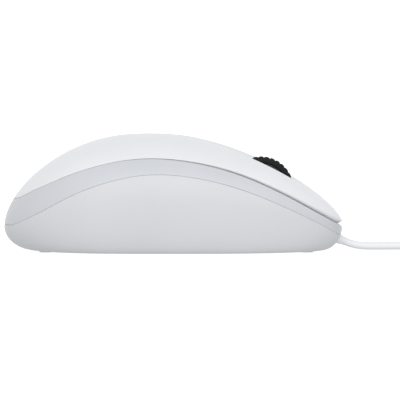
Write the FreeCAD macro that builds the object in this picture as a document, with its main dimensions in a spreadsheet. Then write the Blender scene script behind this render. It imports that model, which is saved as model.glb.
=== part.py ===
import FreeCAD, Part
import math
import os

import Sketcher
from FreeCAD import Placement, Rotation, Vector

# A wired desktop mouse: a pale domed top with two flexing keys, a grey-blue band round the middle, a white
# base, a ribbed wheel on a clicking cradle, the electronics inside and a tied USB cord.
#
# Row frame, millimetres: +X is the nose, +Y the left side, +Z up. The origin is at the bottom of the feet,
# under the middle of the body.

doc = FreeCAD.newDocument("computer_mouse")

# ---------------------------------------------------------------------------------------------------------
# Driving dimensions
# ---------------------------------------------------------------------------------------------------------

DIMENSIONS = {
    # outer form
    "body_length": 113.0,
    "body_width": 62.0,
    "body_height": 39.0,
    "crown_x": -8.0,
    "underside_z": 0.6,
    "wall": 2.0,
    "lip_play": 0.1,
    "lip_wall": 1.1,
    "lip_reach": 1.4,
    "seam_gap": 0.12,
    "key_gap_nose": 1.25,
    # keys
    "key_split_x": -4.0,
    "split_gap": 0.3,
    "slit_width": 0.4,
    "finger_x": 38.0,
    "finger_y": 14.0,
    "finger_bottom": 16.0,
    # wheel and cradle
    "wheel_x": 29.3,
    "wheel_z": 20.35,
    "wheel_radius": 10.9,
    "tyre_width": 7.0,
    "tyre_inner": 8.7,
    "tyre_ribs": 34,
    "axle_radius": 1.5,
    "bearing_radius": 1.56,
    "slot_x": 31.3,
    "slot_length": 23.4,
    "slot_width": 8.8,
    "arm_inner": 5.0,
    "arm_outer": 6.5,
    "pivot_x": 12.5,
    "pivot_z": 14.5,
    "pivot_reach": 8.9,
    # circuit board
    "board_bottom": 7.0,
    "board_top": 8.6,
    "board_rear": -20.0,
    "board_front": 46.0,
    "board_half_width": 18.0,
    "post_radius": 2.2,
    "post_rear_x": -14.0,
    "post_rear_y": 13.0,
    "post_front_x": 24.0,
    "post_front_y": 15.0,
    "pilot_radius": 1.05,
    # switches
    "switch_length": 12.8,
    "switch_depth": 5.8,
    "switch_top": 15.1,
    "plunger_top": 15.9,
    "plunger_play": 0.05,
    "click_switch_x": 42.5,
    "click_switch_top": 12.1,
    "click_plunger_top": 12.9,
    # sensor
    "sensor_x": 4.0,
    "window_length": 12.0,
    "window_width": 8.0,
    # case screw
    "screw_x": -30.0,
    "boss_top": 12.0,
    "screw_head_radius": 2.6,
    "screw_radius": 1.1,
    # feet
    "foot_length": 24.0,
    "foot_depth": 5.0,
    "front_foot_x": 44.0,
    "rear_foot_x": -42.0,
    # cord and plug
    "cord_diameter": 2.6,
    "exit_x": 56.2,
    "exit_z": 3.35,
    "exit_angle": 23.0,
    "relief_outside": 1.5,
    "relief_inside": 4.0,
    "relief_radius": 1.7,
    "coil_x": 104.0,
    "coil_y": 20.4,
    "coil_mean_radius": 15.0,
    "coil_section_width": 13.4,
    "coil_section_height": 9.6,
    "coil_bottom": 0.55,
    "tie_thickness": 0.5,
    "tie_arc": 26.0,
    "plug_x": 107.0,
    "plug_y": -10.5,
    "plug_z": 3.75,
    "plug_neck": 7.0,
    "plug_grip_length": 20.0,
    "plug_width": 15.5,
    "plug_thickness": 7.5,
    "usb_width": 12.0,
    "usb_thickness": 4.5,
    "usb_sheet": 0.3,
    "usb_length": 18.7,
    "usb_free_length": 12.0,
}

sheet = doc.addObject("Spreadsheet::Sheet", "Sizes")
for row, (alias, number) in enumerate(DIMENSIONS.items(), start=1):
    sheet.set("A%d" % row, alias)
    sheet.set("B%d" % row, str(number))
    sheet.setAlias("B%d" % row, alias)
doc.recompute()


class Size:
    """A length with its spreadsheet expression, so that arithmetic keeps both the value and the binding."""

    def __init__(self, value, text):
        self.value = float(value)
        self.text = text

    def join(self, sign, other, value):
        return Size(value, "(%s %s %s)" % (self.text, sign, text_of(other)))

    def __add__(self, other):
        return self.join("+", other, self.value + value_of(other))

    def __sub__(self, other):
        return self.join("-", other, self.value - value_of(other))

    def __rsub__(self, other):
        return Size(value_of(other) - self.value, "(%s - %s)" % (text_of(other), self.text))

    def __mul__(self, other):
        return self.join("*", other, self.value * value_of(other))

    def __truediv__(self, other):
        return self.join("/", other, self.value / value_of(other))

    def __neg__(self):
        return Size(-self.value, "(0 - %s)" % self.text)


def value_of(number):
    return number.value if isinstance(number, Size) else float(number)


def text_of(number):
    return number.text if isinstance(number, Size) else "(%.6f)" % number


def size(alias):
    """The sheet's cell as a Size."""
    return Size(sheet.get(alias), "Sizes." + alias)


def mm(alias):
    """The sheet's cell as a plain number."""
    return float(sheet.get(alias))


def bind(item, prop, number):
    item.setExpression(prop, text_of(number))


# ---------------------------------------------------------------------------------------------------------
# Helpers for sketched bodies
# ---------------------------------------------------------------------------------------------------------

subparts = []


def new_body(label):
    body = doc.addObject("PartDesign::Body", label)
    body.Label = label
    subparts.append(body)
    return body


def new_sketch(body, height=0.0, role="XY_Plane"):
    plane = [item for item in body.Origin.OriginFeatures if item.Role == role][0]
    sketch = body.newObject("Sketcher::SketchObject", body.Label + "_sketch")
    sketch.AttachmentSupport = (plane, [""])
    sketch.MapMode = "FlatFace"
    bind(sketch, "AttachmentOffset.Base.z", height)
    return sketch


def locate(sketch, geometry, vertex, point):
    """Fixes a sketch point at (x, y), each a number or a Size."""
    for kind, axis, number in (("DistanceX", -2, point[0]), ("DistanceY", -1, point[1])):
        if not isinstance(number, Size) and abs(number) < 1e-9:
            sketch.addConstraint(Sketcher.Constraint("PointOnObject", geometry, vertex, axis))
            continue
        constraint = Sketcher.Constraint(kind, -1, 1, geometry, vertex, value_of(number))
        index = sketch.addConstraint(constraint)
        bind(sketch, "Constraints[%d]" % index, number)


def polygon(sketch, points):
    """A closed outline of straight lines, every corner fixed."""
    flat = [Vector(value_of(x), value_of(y), 0) for x, y in points]
    first = sketch.GeometryCount
    for start, end in zip(flat, flat[1:] + flat[:1]):
        sketch.addGeometry(Part.LineSegment(start, end))
    for index, point in enumerate(points):
        previous = first + (index - 1) % len(points)
        sketch.addConstraint(Sketcher.Constraint("Coincident", previous, 2, first + index, 1))
        locate(sketch, first + index, 1, point)


def rectangle(sketch, x_low, x_high, y_low, y_high):
    polygon(sketch, [(x_low, y_low), (x_high, y_low), (x_high, y_high), (x_low, y_high)])


def circle(sketch, x, y, radius):
    centre = Vector(value_of(x), value_of(y), 0)
    index = sketch.addGeometry(Part.Circle(centre, Vector(0, 0, 1), value_of(radius)))
    locate(sketch, index, 3, (x, y))
    limit = sketch.addConstraint(Sketcher.Constraint("Radius", index, value_of(radius)))
    bind(sketch, "Constraints[%d]" % limit, radius)


def add_feature(body, kind, name):
    feature = body.newObject("PartDesign::" + kind, body.Label + "_" + name)
    return feature


def pad(body, sketch, length):
    """Raises the sketch along its normal."""
    feature = add_feature(body, "Pad", "pad")
    feature.Profile = sketch
    bind(feature, "Length", length)
    doc.recompute()
    return feature


def pocket(body, sketch, depth):
    """Sinks the sketch against its normal, and checks that the cut removed something."""
    before = body.Shape.Volume
    feature = add_feature(body, "Pocket", "pocket")
    feature.Profile = sketch
    bind(feature, "Length", depth)
    doc.recompute()
    if not feature.Shape.Volume < before:
        raise ValueError(body.Label + ": a pocket removed nothing")
    return feature


def revolve(body, sketch, angle=360.0):
    """A turn about the sketch's vertical axis."""
    feature = add_feature(body, "Revolution", "turned")
    feature.Profile = sketch
    feature.ReferenceAxis = (sketch, ["V_Axis"])
    feature.Angle = angle
    doc.recompute()
    return feature


def repeat_round(body, feature, count):
    """Copies a feature evenly round the body's Z axis."""
    axis = [item for item in body.Origin.OriginFeatures if item.Role == "Z_Axis"][0]
    pattern = add_feature(body, "PolarPattern", "round")
    pattern.Originals = [feature]
    pattern.Axis = (axis, [""])
    pattern.Angle = 360
    bind(pattern, "Occurrences", count)
    body.Tip = pattern
    doc.recompute()
    return pattern


def round_edges(body, radius, chosen, kind="Fillet"):
    """Fillets or chamfers the edges that chosen(edge) accepts."""
    base = body.Tip
    names = ["Edge%d" % (i + 1) for i, edge in enumerate(base.Shape.Edges) if chosen(edge)]
    feature = add_feature(body, kind, "eased")
    feature.Base = (base, names)
    bind(feature, "Radius" if kind == "Fillet" else "Size", radius)
    doc.recompute()
    return feature


def is_line_along(axis):
    """Tests for a straight edge that runs along a unit vector."""
    def test(edge):
        straight = isinstance(edge.Curve, (Part.Line, Part.LineSegment))
        return straight and abs(edge.tangentAt(edge.FirstParameter).dot(axis)) > 0.999
    return test


def at_height(level):
    """Tests for an edge that lies wholly at one height."""
    def test(edge):
        flat = abs(edge.BoundBox.ZLength) < 1e-4
        return flat and all(abs(vertex.Z - level) < 1e-4 for vertex in edge.Vertexes)
    return test


def block(label, x_low, x_high, y_low, y_high, z_low, z_high):
    """A padded rectangular body."""
    body = new_body(label)
    sketch = new_sketch(body, z_low)
    rectangle(sketch, x_low, x_high, y_low, y_high)
    pad(body, sketch, z_high - z_low)
    return body


# The cradle, the wheel and other side-on bodies are drawn lying down and stood up by this turn: their
# sketch x is row X, sketch y is row Z, and a pad grows towards row -Y.
UPRIGHT = Rotation(Vector(1, 0, 0), 90)

# ---------------------------------------------------------------------------------------------------------
# The outer form
# ---------------------------------------------------------------------------------------------------------
# turn runs round the plan from 0 at the nose; level runs down from 0 at the crown, through 1 at the widest
# line, to 2 at the flat underside. Each character is given for the front, the rear and the sides.

WIDEST_Z = (9.3, 8.2, 17.0)
PLAN_POWER = (2.75, 2.35, 2.5)
DOME_POWER = (0.97, 1.94, 2.6)
DOME_ROOT = (1.59, 1.73, 2.2)
TUCK = (6.0, 9.0, 4.5)


def blend(turn, character):
    front, rear, side = character
    cosine = math.cos(turn)
    return (front if cosine > 0 else rear) * cosine ** 2 + side * math.sin(turn) ** 2


def outline_point(turn, inset):
    """The plan outline about the crown, a superellipse with a long front and a short rear."""
    cosine = math.cos(turn)
    sine = math.sin(turn)
    reach = mm("body_length") / 2 - mm("crown_x") * math.copysign(1, cosine) - inset
    half_width = mm("body_width") / 2 - inset
    power = blend(turn, PLAN_POWER)
    scale = (abs(cosine) ** power + abs(sine) ** power) ** (-1 / power)
    return reach * scale * cosine, half_width * scale * sine


def form_point(turn, level, inset):
    x, y = outline_point(turn, inset)
    widest = blend(turn, WIDEST_Z)
    if level <= 1:
        ratio = math.sin(level * math.pi / 2)
        ease = min(1.0, ratio / 0.35)
        power = 2 + (blend(turn, DOME_POWER) - 2) * ease * ease * (3 - 2 * ease)
        lift = max(0.0, 1 - ratio ** power) ** (1 / blend(turn, DOME_ROOT))
        top = mm("body_height") - inset
        return Vector(mm("crown_x") + x * ratio, y * ratio, widest + (top - widest) * lift)
    angle = (level - 1) * math.pi / 2
    tuck = (blend(turn, TUCK) - 0.3 * inset) * (1 - math.cos(angle))
    ratio = 1 - tuck / math.hypot(x, y)
    bottom = mm("underside_z") + inset
    return Vector(mm("crown_x") + x * ratio, y * ratio, widest - (widest - bottom) * math.sin(angle))


def form_solid(inset, around=40, upper=12, lower=5):
    """The closed outer form, moved inwards by inset, as one smooth surface and a flat underside."""
    turns = [i / around for i in range(around + 1)]
    levels = [(i + 1) / upper for i in range(upper)]
    levels += [1 + (i + 1) / lower for i in range(lower)]
    rings = []
    for level in levels:
        points = [form_point(2 * math.pi * turn, level, inset) for turn in turns[:-1]]
        ring = Part.BSplineCurve()
        ring.interpolate(Points=points, PeriodicFlag=True, Parameters=turns)
        rings.append(ring)
    crown = Vector(mm("crown_x"), 0, mm("body_height") - inset)
    stations = [0.0] + levels
    columns = []
    for index in range(rings[0].NbPoles):
        points = [crown] + [ring.getPole(index + 1) for ring in rings]
        tangent = Vector(points[1].x - crown.x, points[1].y - crown.y, 0) * upper
        tangents = [tangent] + [Vector()] * len(rings)
        flags = [True] + [False] * len(rings)
        column = Part.BSplineCurve()
        column.interpolate(Points=points, Parameters=stations, Tangents=tangents, TangentFlags=flags,
                           Scale=False)
        columns.append(column)
    surface = Part.BSplineSurface()
    surface.buildFromPolesMultsKnots(
        [column.getPoles() for column in columns],
        rings[0].getMultiplicities(), columns[0].getMultiplicities(),
        rings[0].getKnots(), columns[0].getKnots(), True, False, 3, 3)
    rim = surface.vIso(surface.bounds()[3]).toShape()
    shell = Part.makeShell([surface.toShape(), Part.Face(Part.Wire([rim]))])
    shell.sewShape()
    return Part.makeSolid(shell)


# The two seams, as (x, z) in side view: the top cover meets the band along the upper one, the band meets
# the base along the lower one.
UPPER_SEAM = [(-60, 16.6), (-52.2, 17.8), (-44.6, 21.6), (-31.3, 27.3), (-17.9, 30.8), (-5, 31.65),
              (8.9, 29.95), (22.2, 26.2), (35.6, 20.25), (49.0, 12.75), (56, 8.5), (62, 4.9)]
LOWER_SEAM = [(-62, 8.4), (-56.3, 8.9), (-52.7, 9.5), (-44.6, 13.55), (-31.3, 20.55), (-17.9, 25.1),
              (-5, 26.7), (8.9, 25.3), (22.2, 21.8), (35.6, 16.35), (49.0, 9.6), (56, 5.2), (62, 1.7)]


def above_seam(seam, lift):
    """Everything above a seam that is raised by lift(x)."""
    curve = Part.BSplineCurve()
    curve.interpolate(Points=[Vector(x, -50, z + lift(x)) for x, z in seam])
    rear_top = Vector(curve.StartPoint.x, -50, 60)
    front_top = Vector(curve.EndPoint.x, -50, 60)
    sides = [curve.toShape()]
    sides.append(Part.makeLine(curve.EndPoint, front_top))
    sides.append(Part.makeLine(front_top, rear_top))
    sides.append(Part.makeLine(rear_top, curve.StartPoint))
    return Part.Face(Part.Wire(sides)).extrude(Vector(0, 100, 0))


def key_gap(x):
    """The gap under the keys, a hairline at the hinge that widens to the nose to make room for the press."""
    along = max(0.0, (x - mm("key_split_x")) / (mm("body_length") / 2 - mm("key_split_x")))
    return mm("seam_gap") + mm("key_gap_nose") * along ** 1.3


def box_between(x_low, x_high, y_low, y_high, z_low, z_high):
    return Part.makeBox(x_high - x_low, y_high - y_low, z_high - z_low, Vector(x_low, y_low, z_low))


def add_shape(name, shape, exported=False):
    """A Part::Feature that holds a computed shape."""
    item = doc.addObject("Part::Feature", name)
    item.Label = name
    item.Shape = shape.Solids[0] if len(shape.Solids) == 1 else shape
    item.Placement = Placement()
    if exported:
        subparts.append(item)
    return item


outer = form_solid(0)
inner = form_solid(mm("wall"))
lip_outer = form_solid(mm("wall") + mm("lip_play"))
lip_inner = form_solid(mm("wall") + mm("lip_play") + mm("lip_wall"))
root_depth = form_solid(mm("wall") / 2)

# The strain relief's axis: it slopes down and out through the nose where the base meets the band.
EXIT = Vector(mm("exit_x"), 0, mm("exit_z"))
EXIT_ANGLE = math.radians(mm("exit_angle"))
EXIT_WAY = Vector(math.cos(EXIT_ANGLE), 0, -math.sin(EXIT_ANGLE))
exit_hole = Part.makeCylinder(mm("relief_radius") + 0.05, 12, EXIT - EXIT_WAY * 6, EXIT_WAY)
exit_hole = exit_hole.fuse(Part.makeCylinder(2.8, 3.4, EXIT - EXIT_WAY * 6.1, EXIT_WAY))

# --- top cover and keys ---------------------------------------------------------------------------------
top_shell = outer.common(above_seam(UPPER_SEAM, key_gap)).cut(inner)
half_split = mm("split_gap") / 2
half_slit = mm("slit_width") / 2
split_x = mm("key_split_x")

top_skin = add_shape("top_skin", top_shell.common(box_between(-70, split_x - half_split, -50, 50, 0, 50)))

# The wheel's opening is a slot with round ends, cut straight down through both keys.
slot_radius = mm("slot_width") / 2
slot_half = mm("slot_length") / 2 - slot_radius
wheel_slot = box_between(mm("slot_x") - slot_half, mm("slot_x") + slot_half, -slot_radius, slot_radius, 0, 50)
for end in (-slot_half, slot_half):
    wheel_slot = wheel_slot.fuse(Part.makeCylinder(slot_radius, 50, Vector(mm("slot_x") + end, 0, 0)))

key_shell = top_shell.common(box_between(split_x + half_split, 70, -50, 50, 0, 50)).cut(wheel_slot)
for label, y_low, y_high, side in (("left_button", half_slit, 50, 1), ("right_button", -50, -half_slit, -1)):
    key = key_shell.common(box_between(-70, 70, y_low, y_high, 0, 50))
    finger_y = side * mm("finger_y")
    # The finger hangs from the key's underside and stops just above the switch plunger.
    finger = box_between(mm("finger_x") - 1, mm("finger_x") + 1, finger_y - 1.5, finger_y + 1.5,
                         mm("finger_bottom"), 50).common(root_depth)
    add_shape(label, key.fuse(finger).removeSplitter(), exported=True)

# The palm's screw post runs down from the roof to the base's boss.
post = doc.addObject("Part::Cylinder", "cover_post_stock")
bind(post, "Radius", 3.0)
bind(post, "Height", 30.0)
bind(post, "Placement.Base.x", size("screw_x"))
bind(post, "Placement.Base.z", size("boss_top"))
roof = add_shape("cover_post_limit", root_depth)
post_trimmed = doc.addObject("Part::Common", "cover_post")
post_trimmed.Base = post
post_trimmed.Tool = roof
cover_joined = doc.addObject("Part::Fuse", "cover_with_post")
cover_joined.Base = top_skin
cover_joined.Tool = post_trimmed
cover_bore = doc.addObject("Part::Cylinder", "cover_bore")
bind(cover_bore, "Radius", size("screw_radius") + 0.05)
bind(cover_bore, "Height", 10.0)
bind(cover_bore, "Placement.Base.x", size("screw_x"))
bind(cover_bore, "Placement.Base.z", size("boss_top"))
top_cover = doc.addObject("Part::Cut", "top_cover")
top_cover.Label = "top_cover"
top_cover.Base = cover_joined
top_cover.Tool = cover_bore
subparts.append(top_cover)

# --- middle band ------------------------------------------------------------------------------------------
# The band's inner lip reaches up behind the palm cover and down behind the base, and stays off the keys.
band = outer.common(above_seam(LOWER_SEAM, lambda x: 0.0))
band = band.cut(above_seam(UPPER_SEAM, lambda x: 0.0)).cut(inner)
reach = mm("lip_reach")
lip_ring = lip_outer.cut(lip_inner).common(above_seam(LOWER_SEAM, lambda x: -reach))
lip_low = lip_ring.cut(above_seam(UPPER_SEAM, lambda x: -1.0))
lip_low = lip_low.common(box_between(-60, 51, -40, 40, 0, 50))
lip_rear = lip_ring.cut(above_seam(UPPER_SEAM, lambda x: reach))
lip_rear = lip_rear.common(box_between(-60, split_x - 1, -40, 40, 0, 50))
web = root_depth.cut(lip_inner).common(above_seam(LOWER_SEAM, lambda x: 0.4))
web = web.cut(above_seam(UPPER_SEAM, lambda x: -0.4))
middle = band.fuse([web, lip_low, lip_rear]).cut(exit_hole)
add_shape("middle_frame", middle, exported=True)

# --- base case --------------------------------------------------------------------------------------------
base_skin = outer.cut(above_seam(LOWER_SEAM, lambda x: -mm("seam_gap"))).cut(inner)
base_shell = add_shape("base_shell", base_skin)

base_adds = [base_shell]
base_cuts = [add_shape("exit_hole", exit_hole)]


def cylinder(name, x, y, z_low, z_high, radius):
    item = doc.addObject("Part::Cylinder", name)
    bind(item, "Radius", radius)
    bind(item, "Height", z_high - z_low)
    bind(item, "Placement.Base.x", x)
    bind(item, "Placement.Base.y", y)
    bind(item, "Placement.Base.z", z_low)
    return item


for rank, (post_x, post_y) in enumerate((("post_rear_x", "post_rear_y"), ("post_front_x", "post_front_y"))):
    for side in (1, -1):
        name = "board_post_%d_%s" % (rank, "left" if side > 0 else "right")
        place = (size(post_x), size(post_y) * side)
        base_adds.append(cylinder(name, *place, 1.6, size("board_bottom"), size("post_radius")))
        base_cuts.append(cylinder(name + "_pilot", *place, 3.0, size("board_top"), size("pilot_radius")))

base_adds.append(cylinder("screw_boss", size("screw_x"), 0.0, 1.0, size("boss_top"), 3.2))
base_cuts.append(cylinder("screw_bore", size("screw_x"), 0.0, 0.0, size("boss_top") + 1, 1.3))
base_cuts.append(cylinder("screw_sink", size("screw_x"), 0.0, 0.0, 4.0, size("screw_head_radius") + 0.2))

for side in (1, -1):
    wall = doc.addObject("Part::Box", "pivot_post_%s" % ("left" if side > 0 else "right"))
    bind(wall, "Length", 5.0)
    bind(wall, "Width", 2.3)
    bind(wall, "Height", 15.4)
    bind(wall, "Placement.Base.x", size("pivot_x") - 2.5)
    bind(wall, "Placement.Base.y", size("arm_outer") + 0.2 if side > 0 else -size("arm_outer") - 2.5)
    bind(wall, "Placement.Base.z", 1.6)
    base_adds.append(wall)
pivot_bore = doc.addObject("Part::Cylinder", "pivot_bore")
bind(pivot_bore, "Radius", size("bearing_radius"))
bind(pivot_bore, "Height", 24.0)
pivot_bore.Placement = Placement(Vector(mm("pivot_x"), 12, mm("pivot_z")), UPRIGHT)
bind(pivot_bore, "Placement.Base.x", size("pivot_x"))
bind(pivot_bore, "Placement.Base.z", size("pivot_z"))
base_cuts.append(pivot_bore)

window = doc.addObject("Part::Box", "sensor_window")
bind(window, "Length", size("window_length"))
bind(window, "Width", size("window_width"))
bind(window, "Height", 4.0)
bind(window, "Placement.Base.x", size("sensor_x") - size("window_length") / 2)
bind(window, "Placement.Base.y", -size("window_width") / 2)
base_cuts.append(window)

base_joined = doc.addObject("Part::MultiFuse", "base_joined")
base_joined.Shapes = base_adds
base_tools = doc.addObject("Part::MultiFuse", "base_tools")
base_tools.Shapes = base_cuts
base_case = doc.addObject("Part::Cut", "base_case")
base_case.Label = "base_case"
base_case.Base = base_joined
base_case.Tool = base_tools
subparts.append(base_case)

# --- feet and label ---------------------------------------------------------------------------------------
for label, alias in (("front_foot", "front_foot_x"), ("rear_foot", "rear_foot_x")):
    half = size("foot_length") / 2
    foot = block(label, size(alias) - size("foot_depth") / 2, size(alias) + size("foot_depth") / 2,
                 -half, half, 0.0, size("underside_z"))
    round_edges(foot, 2.4, is_line_along(Vector(0, 0, 1)))
label_plate = block("blank_label", -22.0, -6.0, -12.0, 12.0, 0.45, size("underside_z"))
round_edges(label_plate, 1.5, is_line_along(Vector(0, 0, 1)))

# ---------------------------------------------------------------------------------------------------------
# Circuit board and what is soldered to it
# ---------------------------------------------------------------------------------------------------------
board = new_body("circuit_board")
outline = new_sketch(board, size("board_bottom"))
board_half = size("board_half_width")
polygon(outline, [
    (size("board_rear"), -board_half), (size("board_front") - 8, -board_half),
    (size("board_front"), -board_half + 7), (size("board_front"), board_half - 7),
    (size("board_front") - 8, board_half), (size("board_rear"), board_half)])
pad(board, outline, size("board_top") - size("board_bottom"))
cutouts = new_sketch(board, size("board_top"))
rectangle(cutouts, 20.5, 37.5, -4.5, 4.5)
rectangle(cutouts, size("sensor_x") - 4, size("sensor_x") + 4, -3.5, 3.5)
rectangle(cutouts, 16.5, 22.5, 9.7, 12.9)
for side in (1, -1):
    rectangle(cutouts, size("pivot_x") - 3, size("pivot_x") + 3,
              size("arm_outer") * side - 0.4 * side, 9.4 * side)
    circle(cutouts, size("post_rear_x"), size("post_rear_y") * side, 1.2)
    circle(cutouts, size("post_front_x"), size("post_front_y") * side, 1.2)
pocket(board, cutouts, 3.0)

screws = new_body("board_screws")
for side in (1, -1):
    for level, length, radius in ((3.4, size("board_top") - 3.4, 1.0), (size("board_top"), 1.3, 2.1)):
        shank = new_sketch(screws, level)
        circle(shank, size("post_rear_x"), size("post_rear_y") * side, radius)
        if side < 0 and screws.Tip is not None:
            screws.AllowCompound = True
        pad(screws, shank, length)

case_screw = new_body("case_screw")
head = new_sketch(case_screw, 2.4)
circle(head, size("screw_x"), 0.0, size("screw_head_radius"))
pad(case_screw, head, 1.6)
shank = new_sketch(case_screw, 4.0)
circle(shank, size("screw_x"), 0.0, size("screw_radius"))
pad(case_screw, shank, 15.0)
for across, along in ((1.5, 0.3), (0.3, 1.5)):
    cross = new_sketch(case_screw, 3.3)
    rectangle(cross, size("screw_x") - across, size("screw_x") + across, -along, along)
    pocket(case_screw, cross, 2.0)

switch_half = size("switch_length") / 2
switch_deep = size("switch_depth") / 2
terminals = new_body("switch_terminals")
terminals.AllowCompound = True
for side, name in ((1, "left"), (-1, "right")):
    centre_y = size("finger_y") * side
    switch = block(name + "_switch", size("finger_x") - switch_half, size("finger_x") + switch_half,
                   centre_y - switch_deep, centre_y + switch_deep, size("board_top"), size("switch_top"))
    round_edges(switch, 0.5, at_height(mm("switch_top")), kind="Chamfer")
    well = new_sketch(switch, size("switch_top"))
    play = size("plunger_play")
    rectangle(well, size("finger_x") - 0.6 - play.value, size("finger_x") + 0.6 + play.value,
              centre_y - 1.4 - play.value, centre_y + 1.4 + play.value)
    pocket(switch, well, 2.2)
    block(name + "_switch_plunger", size("finger_x") - 0.6, size("finger_x") + 0.6,
          centre_y - 1.4, centre_y + 1.4, size("switch_top") - 1.2, size("plunger_top"))
    for step in (-1, 0, 1):
        pin = new_sketch(terminals, 5.4)
        rectangle(pin, size("finger_x") + (5.08 * step - 0.4), size("finger_x") + (5.08 * step + 0.4),
                  centre_y - 0.25, centre_y + 0.25)
        pad(terminals, pin, size("board_top") - 5.4)

click_x = size("click_switch_x")
middle_switch = block("middle_switch", click_x - 3, click_x + 3, -3.0, 3.0,
                      size("board_top"), size("click_switch_top"))
round_edges(middle_switch, 0.4, is_line_along(Vector(0, 0, 1)))
well = new_sketch(middle_switch, size("click_switch_top"))
circle(well, click_x, 0.0, 1.8)
pocket(middle_switch, well, 1.8)
middle_plunger = new_body("middle_switch_plunger")
button = new_sketch(middle_plunger, size("click_switch_top") - 1)
circle(button, click_x, 0.0, 1.75)
pad(middle_plunger, button, size("click_plunger_top") - size("click_switch_top") + 1)

# --- tracking sensor --------------------------------------------------------------------------------------
sensor = block("optical_sensor", size("sensor_x") - 6.2, size("sensor_x") + 6.2, -4.9, 4.9,
               size("board_top"), 11.4)
round_edges(sensor, 0.4, at_height(11.4), kind="Chamfer")
lens = block("sensor_lens", size("sensor_x") - 9, size("sensor_x") + 9, -5.5, 5.5, 5.4, size("board_bottom"))
barrel = new_sketch(lens, 1.4)
rectangle(barrel, size("sensor_x") - 5, size("sensor_x") + 5, -3.4, 3.4)
pad(lens, barrel, 4.0)
led = new_body("sensor_led")
dome = new_sketch(led, 0.0, "XZ_Plane")
polygon(dome, [(0, 0), (1.9, 0), (1.9, 1.0), (1.5, 1.0), (1.5, 3.8), (1.1, 4.6), (0.5, 5.0), (0, 5.1)])
revolve(led, dome)
led.Placement = Placement(Vector(-10.0, 0, 11.0), Rotation(Vector(0, 1, 0), 90))
clip = block("led_clip", -13.0, -10.0, -3.4, 3.4, size("board_top"), 13.6)
round_edges(clip, 0.8, at_height(13.6))

# --- small board parts ------------------------------------------------------------------------------------
capacitor = new_body("capacitor")
can = new_sketch(capacitor, size("board_top"))
circle(can, -6.0, -12.5, 2.5)
pad(capacitor, can, 6.8)
round_edges(capacitor, 0.4, at_height(mm("board_top") + 6.8))
resonator = block("resonator", -17.5, -14.0, -6.0, -1.0, size("board_top"), 12.4)
round_edges(resonator, 1.2, is_line_along(Vector(0, 0, 1)))
chips = new_body("chip_resistors")
chips.AllowCompound = True
for number in range(3):
    chip = new_sketch(chips, size("board_top"))
    rectangle(chip, 18.0 + 2.6 * number, 19.4 + 2.6 * number, -9.6, -7.6)
    pad(chips, chip, 0.6)
for name, side in (("ir_emitter", -1), ("ir_detector", 1)):
    eye = block(name, size("wheel_x") - 2, size("wheel_x") + 2,
                min(7.5 * side, 9.5 * side), max(7.5 * side, 9.5 * side), size("board_top"), 13.6)
    round_edges(eye, 0.6, at_height(13.6))
header = block("cable_header", 4.0, 8.6, 9.0, 17.0, size("board_top"), 13.6)
socket = new_sketch(header, 13.0)
rectangle(socket, 5.4, 9.0, 9.8, 16.2)
pocket(header, socket, 3.8)
block("cable_connector", 5.5, 10.6, 9.9, 16.1, 9.3, 12.9)

# ---------------------------------------------------------------------------------------------------------
# Wheel and its clicking cradle
# ---------------------------------------------------------------------------------------------------------
AXLE = Vector(mm("wheel_x"), 0, mm("wheel_z"))
half_tyre = size("tyre_width") / 2

hub = new_body("wheel_hub")
profile = new_sketch(hub, 0.0, "XZ_Plane")
rim = size("tyre_inner")
half_profile = [(size("axle_radius"), 6.4), (size("axle_radius"), 4.6), (3.0, 4.6), (3.0, 0.8),
                (rim - 1, 0.8), (rim - 1, 3.2), (rim, 3.2)]
mirrored = [(radius, -height) for radius, height in reversed(half_profile)]
polygon(profile, [(0, 6.4)] + half_profile + mirrored + [(0, -6.4)])
revolve(hub, profile)
eyelet = new_sketch(hub, 0.8)
rectangle(eyelet, 4.2, 6.8, -0.6, 0.6)
repeat_round(hub, pocket(hub, eyelet, 1.6), 14)
hub.Placement = Placement(AXLE, UPRIGHT)

tyre = new_body("wheel_tyre")
ring = new_sketch(tyre, -half_tyre)
circle(ring, 0.0, 0.0, size("wheel_radius"))
circle(ring, 0.0, 0.0, size("tyre_inner"))
pad(tyre, ring, size("tyre_width"))
round_edges(tyre, 1.2, lambda edge: isinstance(edge.Curve, Part.Circle) and edge.Curve.Radius > 10)
scallop = new_sketch(tyre, half_tyre)
circle(scallop, size("wheel_radius") + 0.3, 0.0, 0.65)
repeat_round(tyre, pocket(tyre, scallop, size("tyre_width")), size("tyre_ribs"))
tyre.Placement = Placement(AXLE, UPRIGHT)

cradle = new_body("wheel_cradle")
arms = new_sketch(cradle, -size("arm_outer"))
polygon(arms, [(size("pivot_x") - 2, size("pivot_z") - 2),
               (size("wheel_x") - 3, 15.6), (size("wheel_x") + 3, 15.6),
               (42.0, 13.0), (45.0, 13.0), (45.0, 16.2), (42.0, 16.8), (size("wheel_x") + 3, 23.4),
               (size("wheel_x") - 3, 23.4), (size("pivot_x") - 2, size("pivot_z") + 2)])
pad(cradle, arms, size("arm_outer") * 2)
bay = new_sketch(cradle, size("arm_inner"))
rectangle(bay, size("pivot_x") + 3, 42.0, 5.0, 30.0)
pocket(cradle, bay, size("arm_inner") * 2)
bearings = new_sketch(cradle, size("arm_outer"))
circle(bearings, size("wheel_x"), size("wheel_z"), size("bearing_radius"))
pocket(cradle, bearings, size("arm_outer") * 2)
trunnions = new_sketch(cradle, -size("pivot_reach"))
circle(trunnions, size("pivot_x"), size("pivot_z"), size("axle_radius"))
pad(cradle, trunnions, size("pivot_reach") * 2)
cradle.Placement = Placement(Vector(), UPRIGHT)

# The detent spring is a light wire across the cradle, behind the wheel.
spring = new_body("detent_spring")
wire = new_sketch(spring, -size("arm_inner"))
circle(wire, 16.2, 14.0, 0.4)
pad(spring, wire, size("arm_inner") * 2)
spring.Placement = Placement(Vector(), UPRIGHT)


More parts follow.
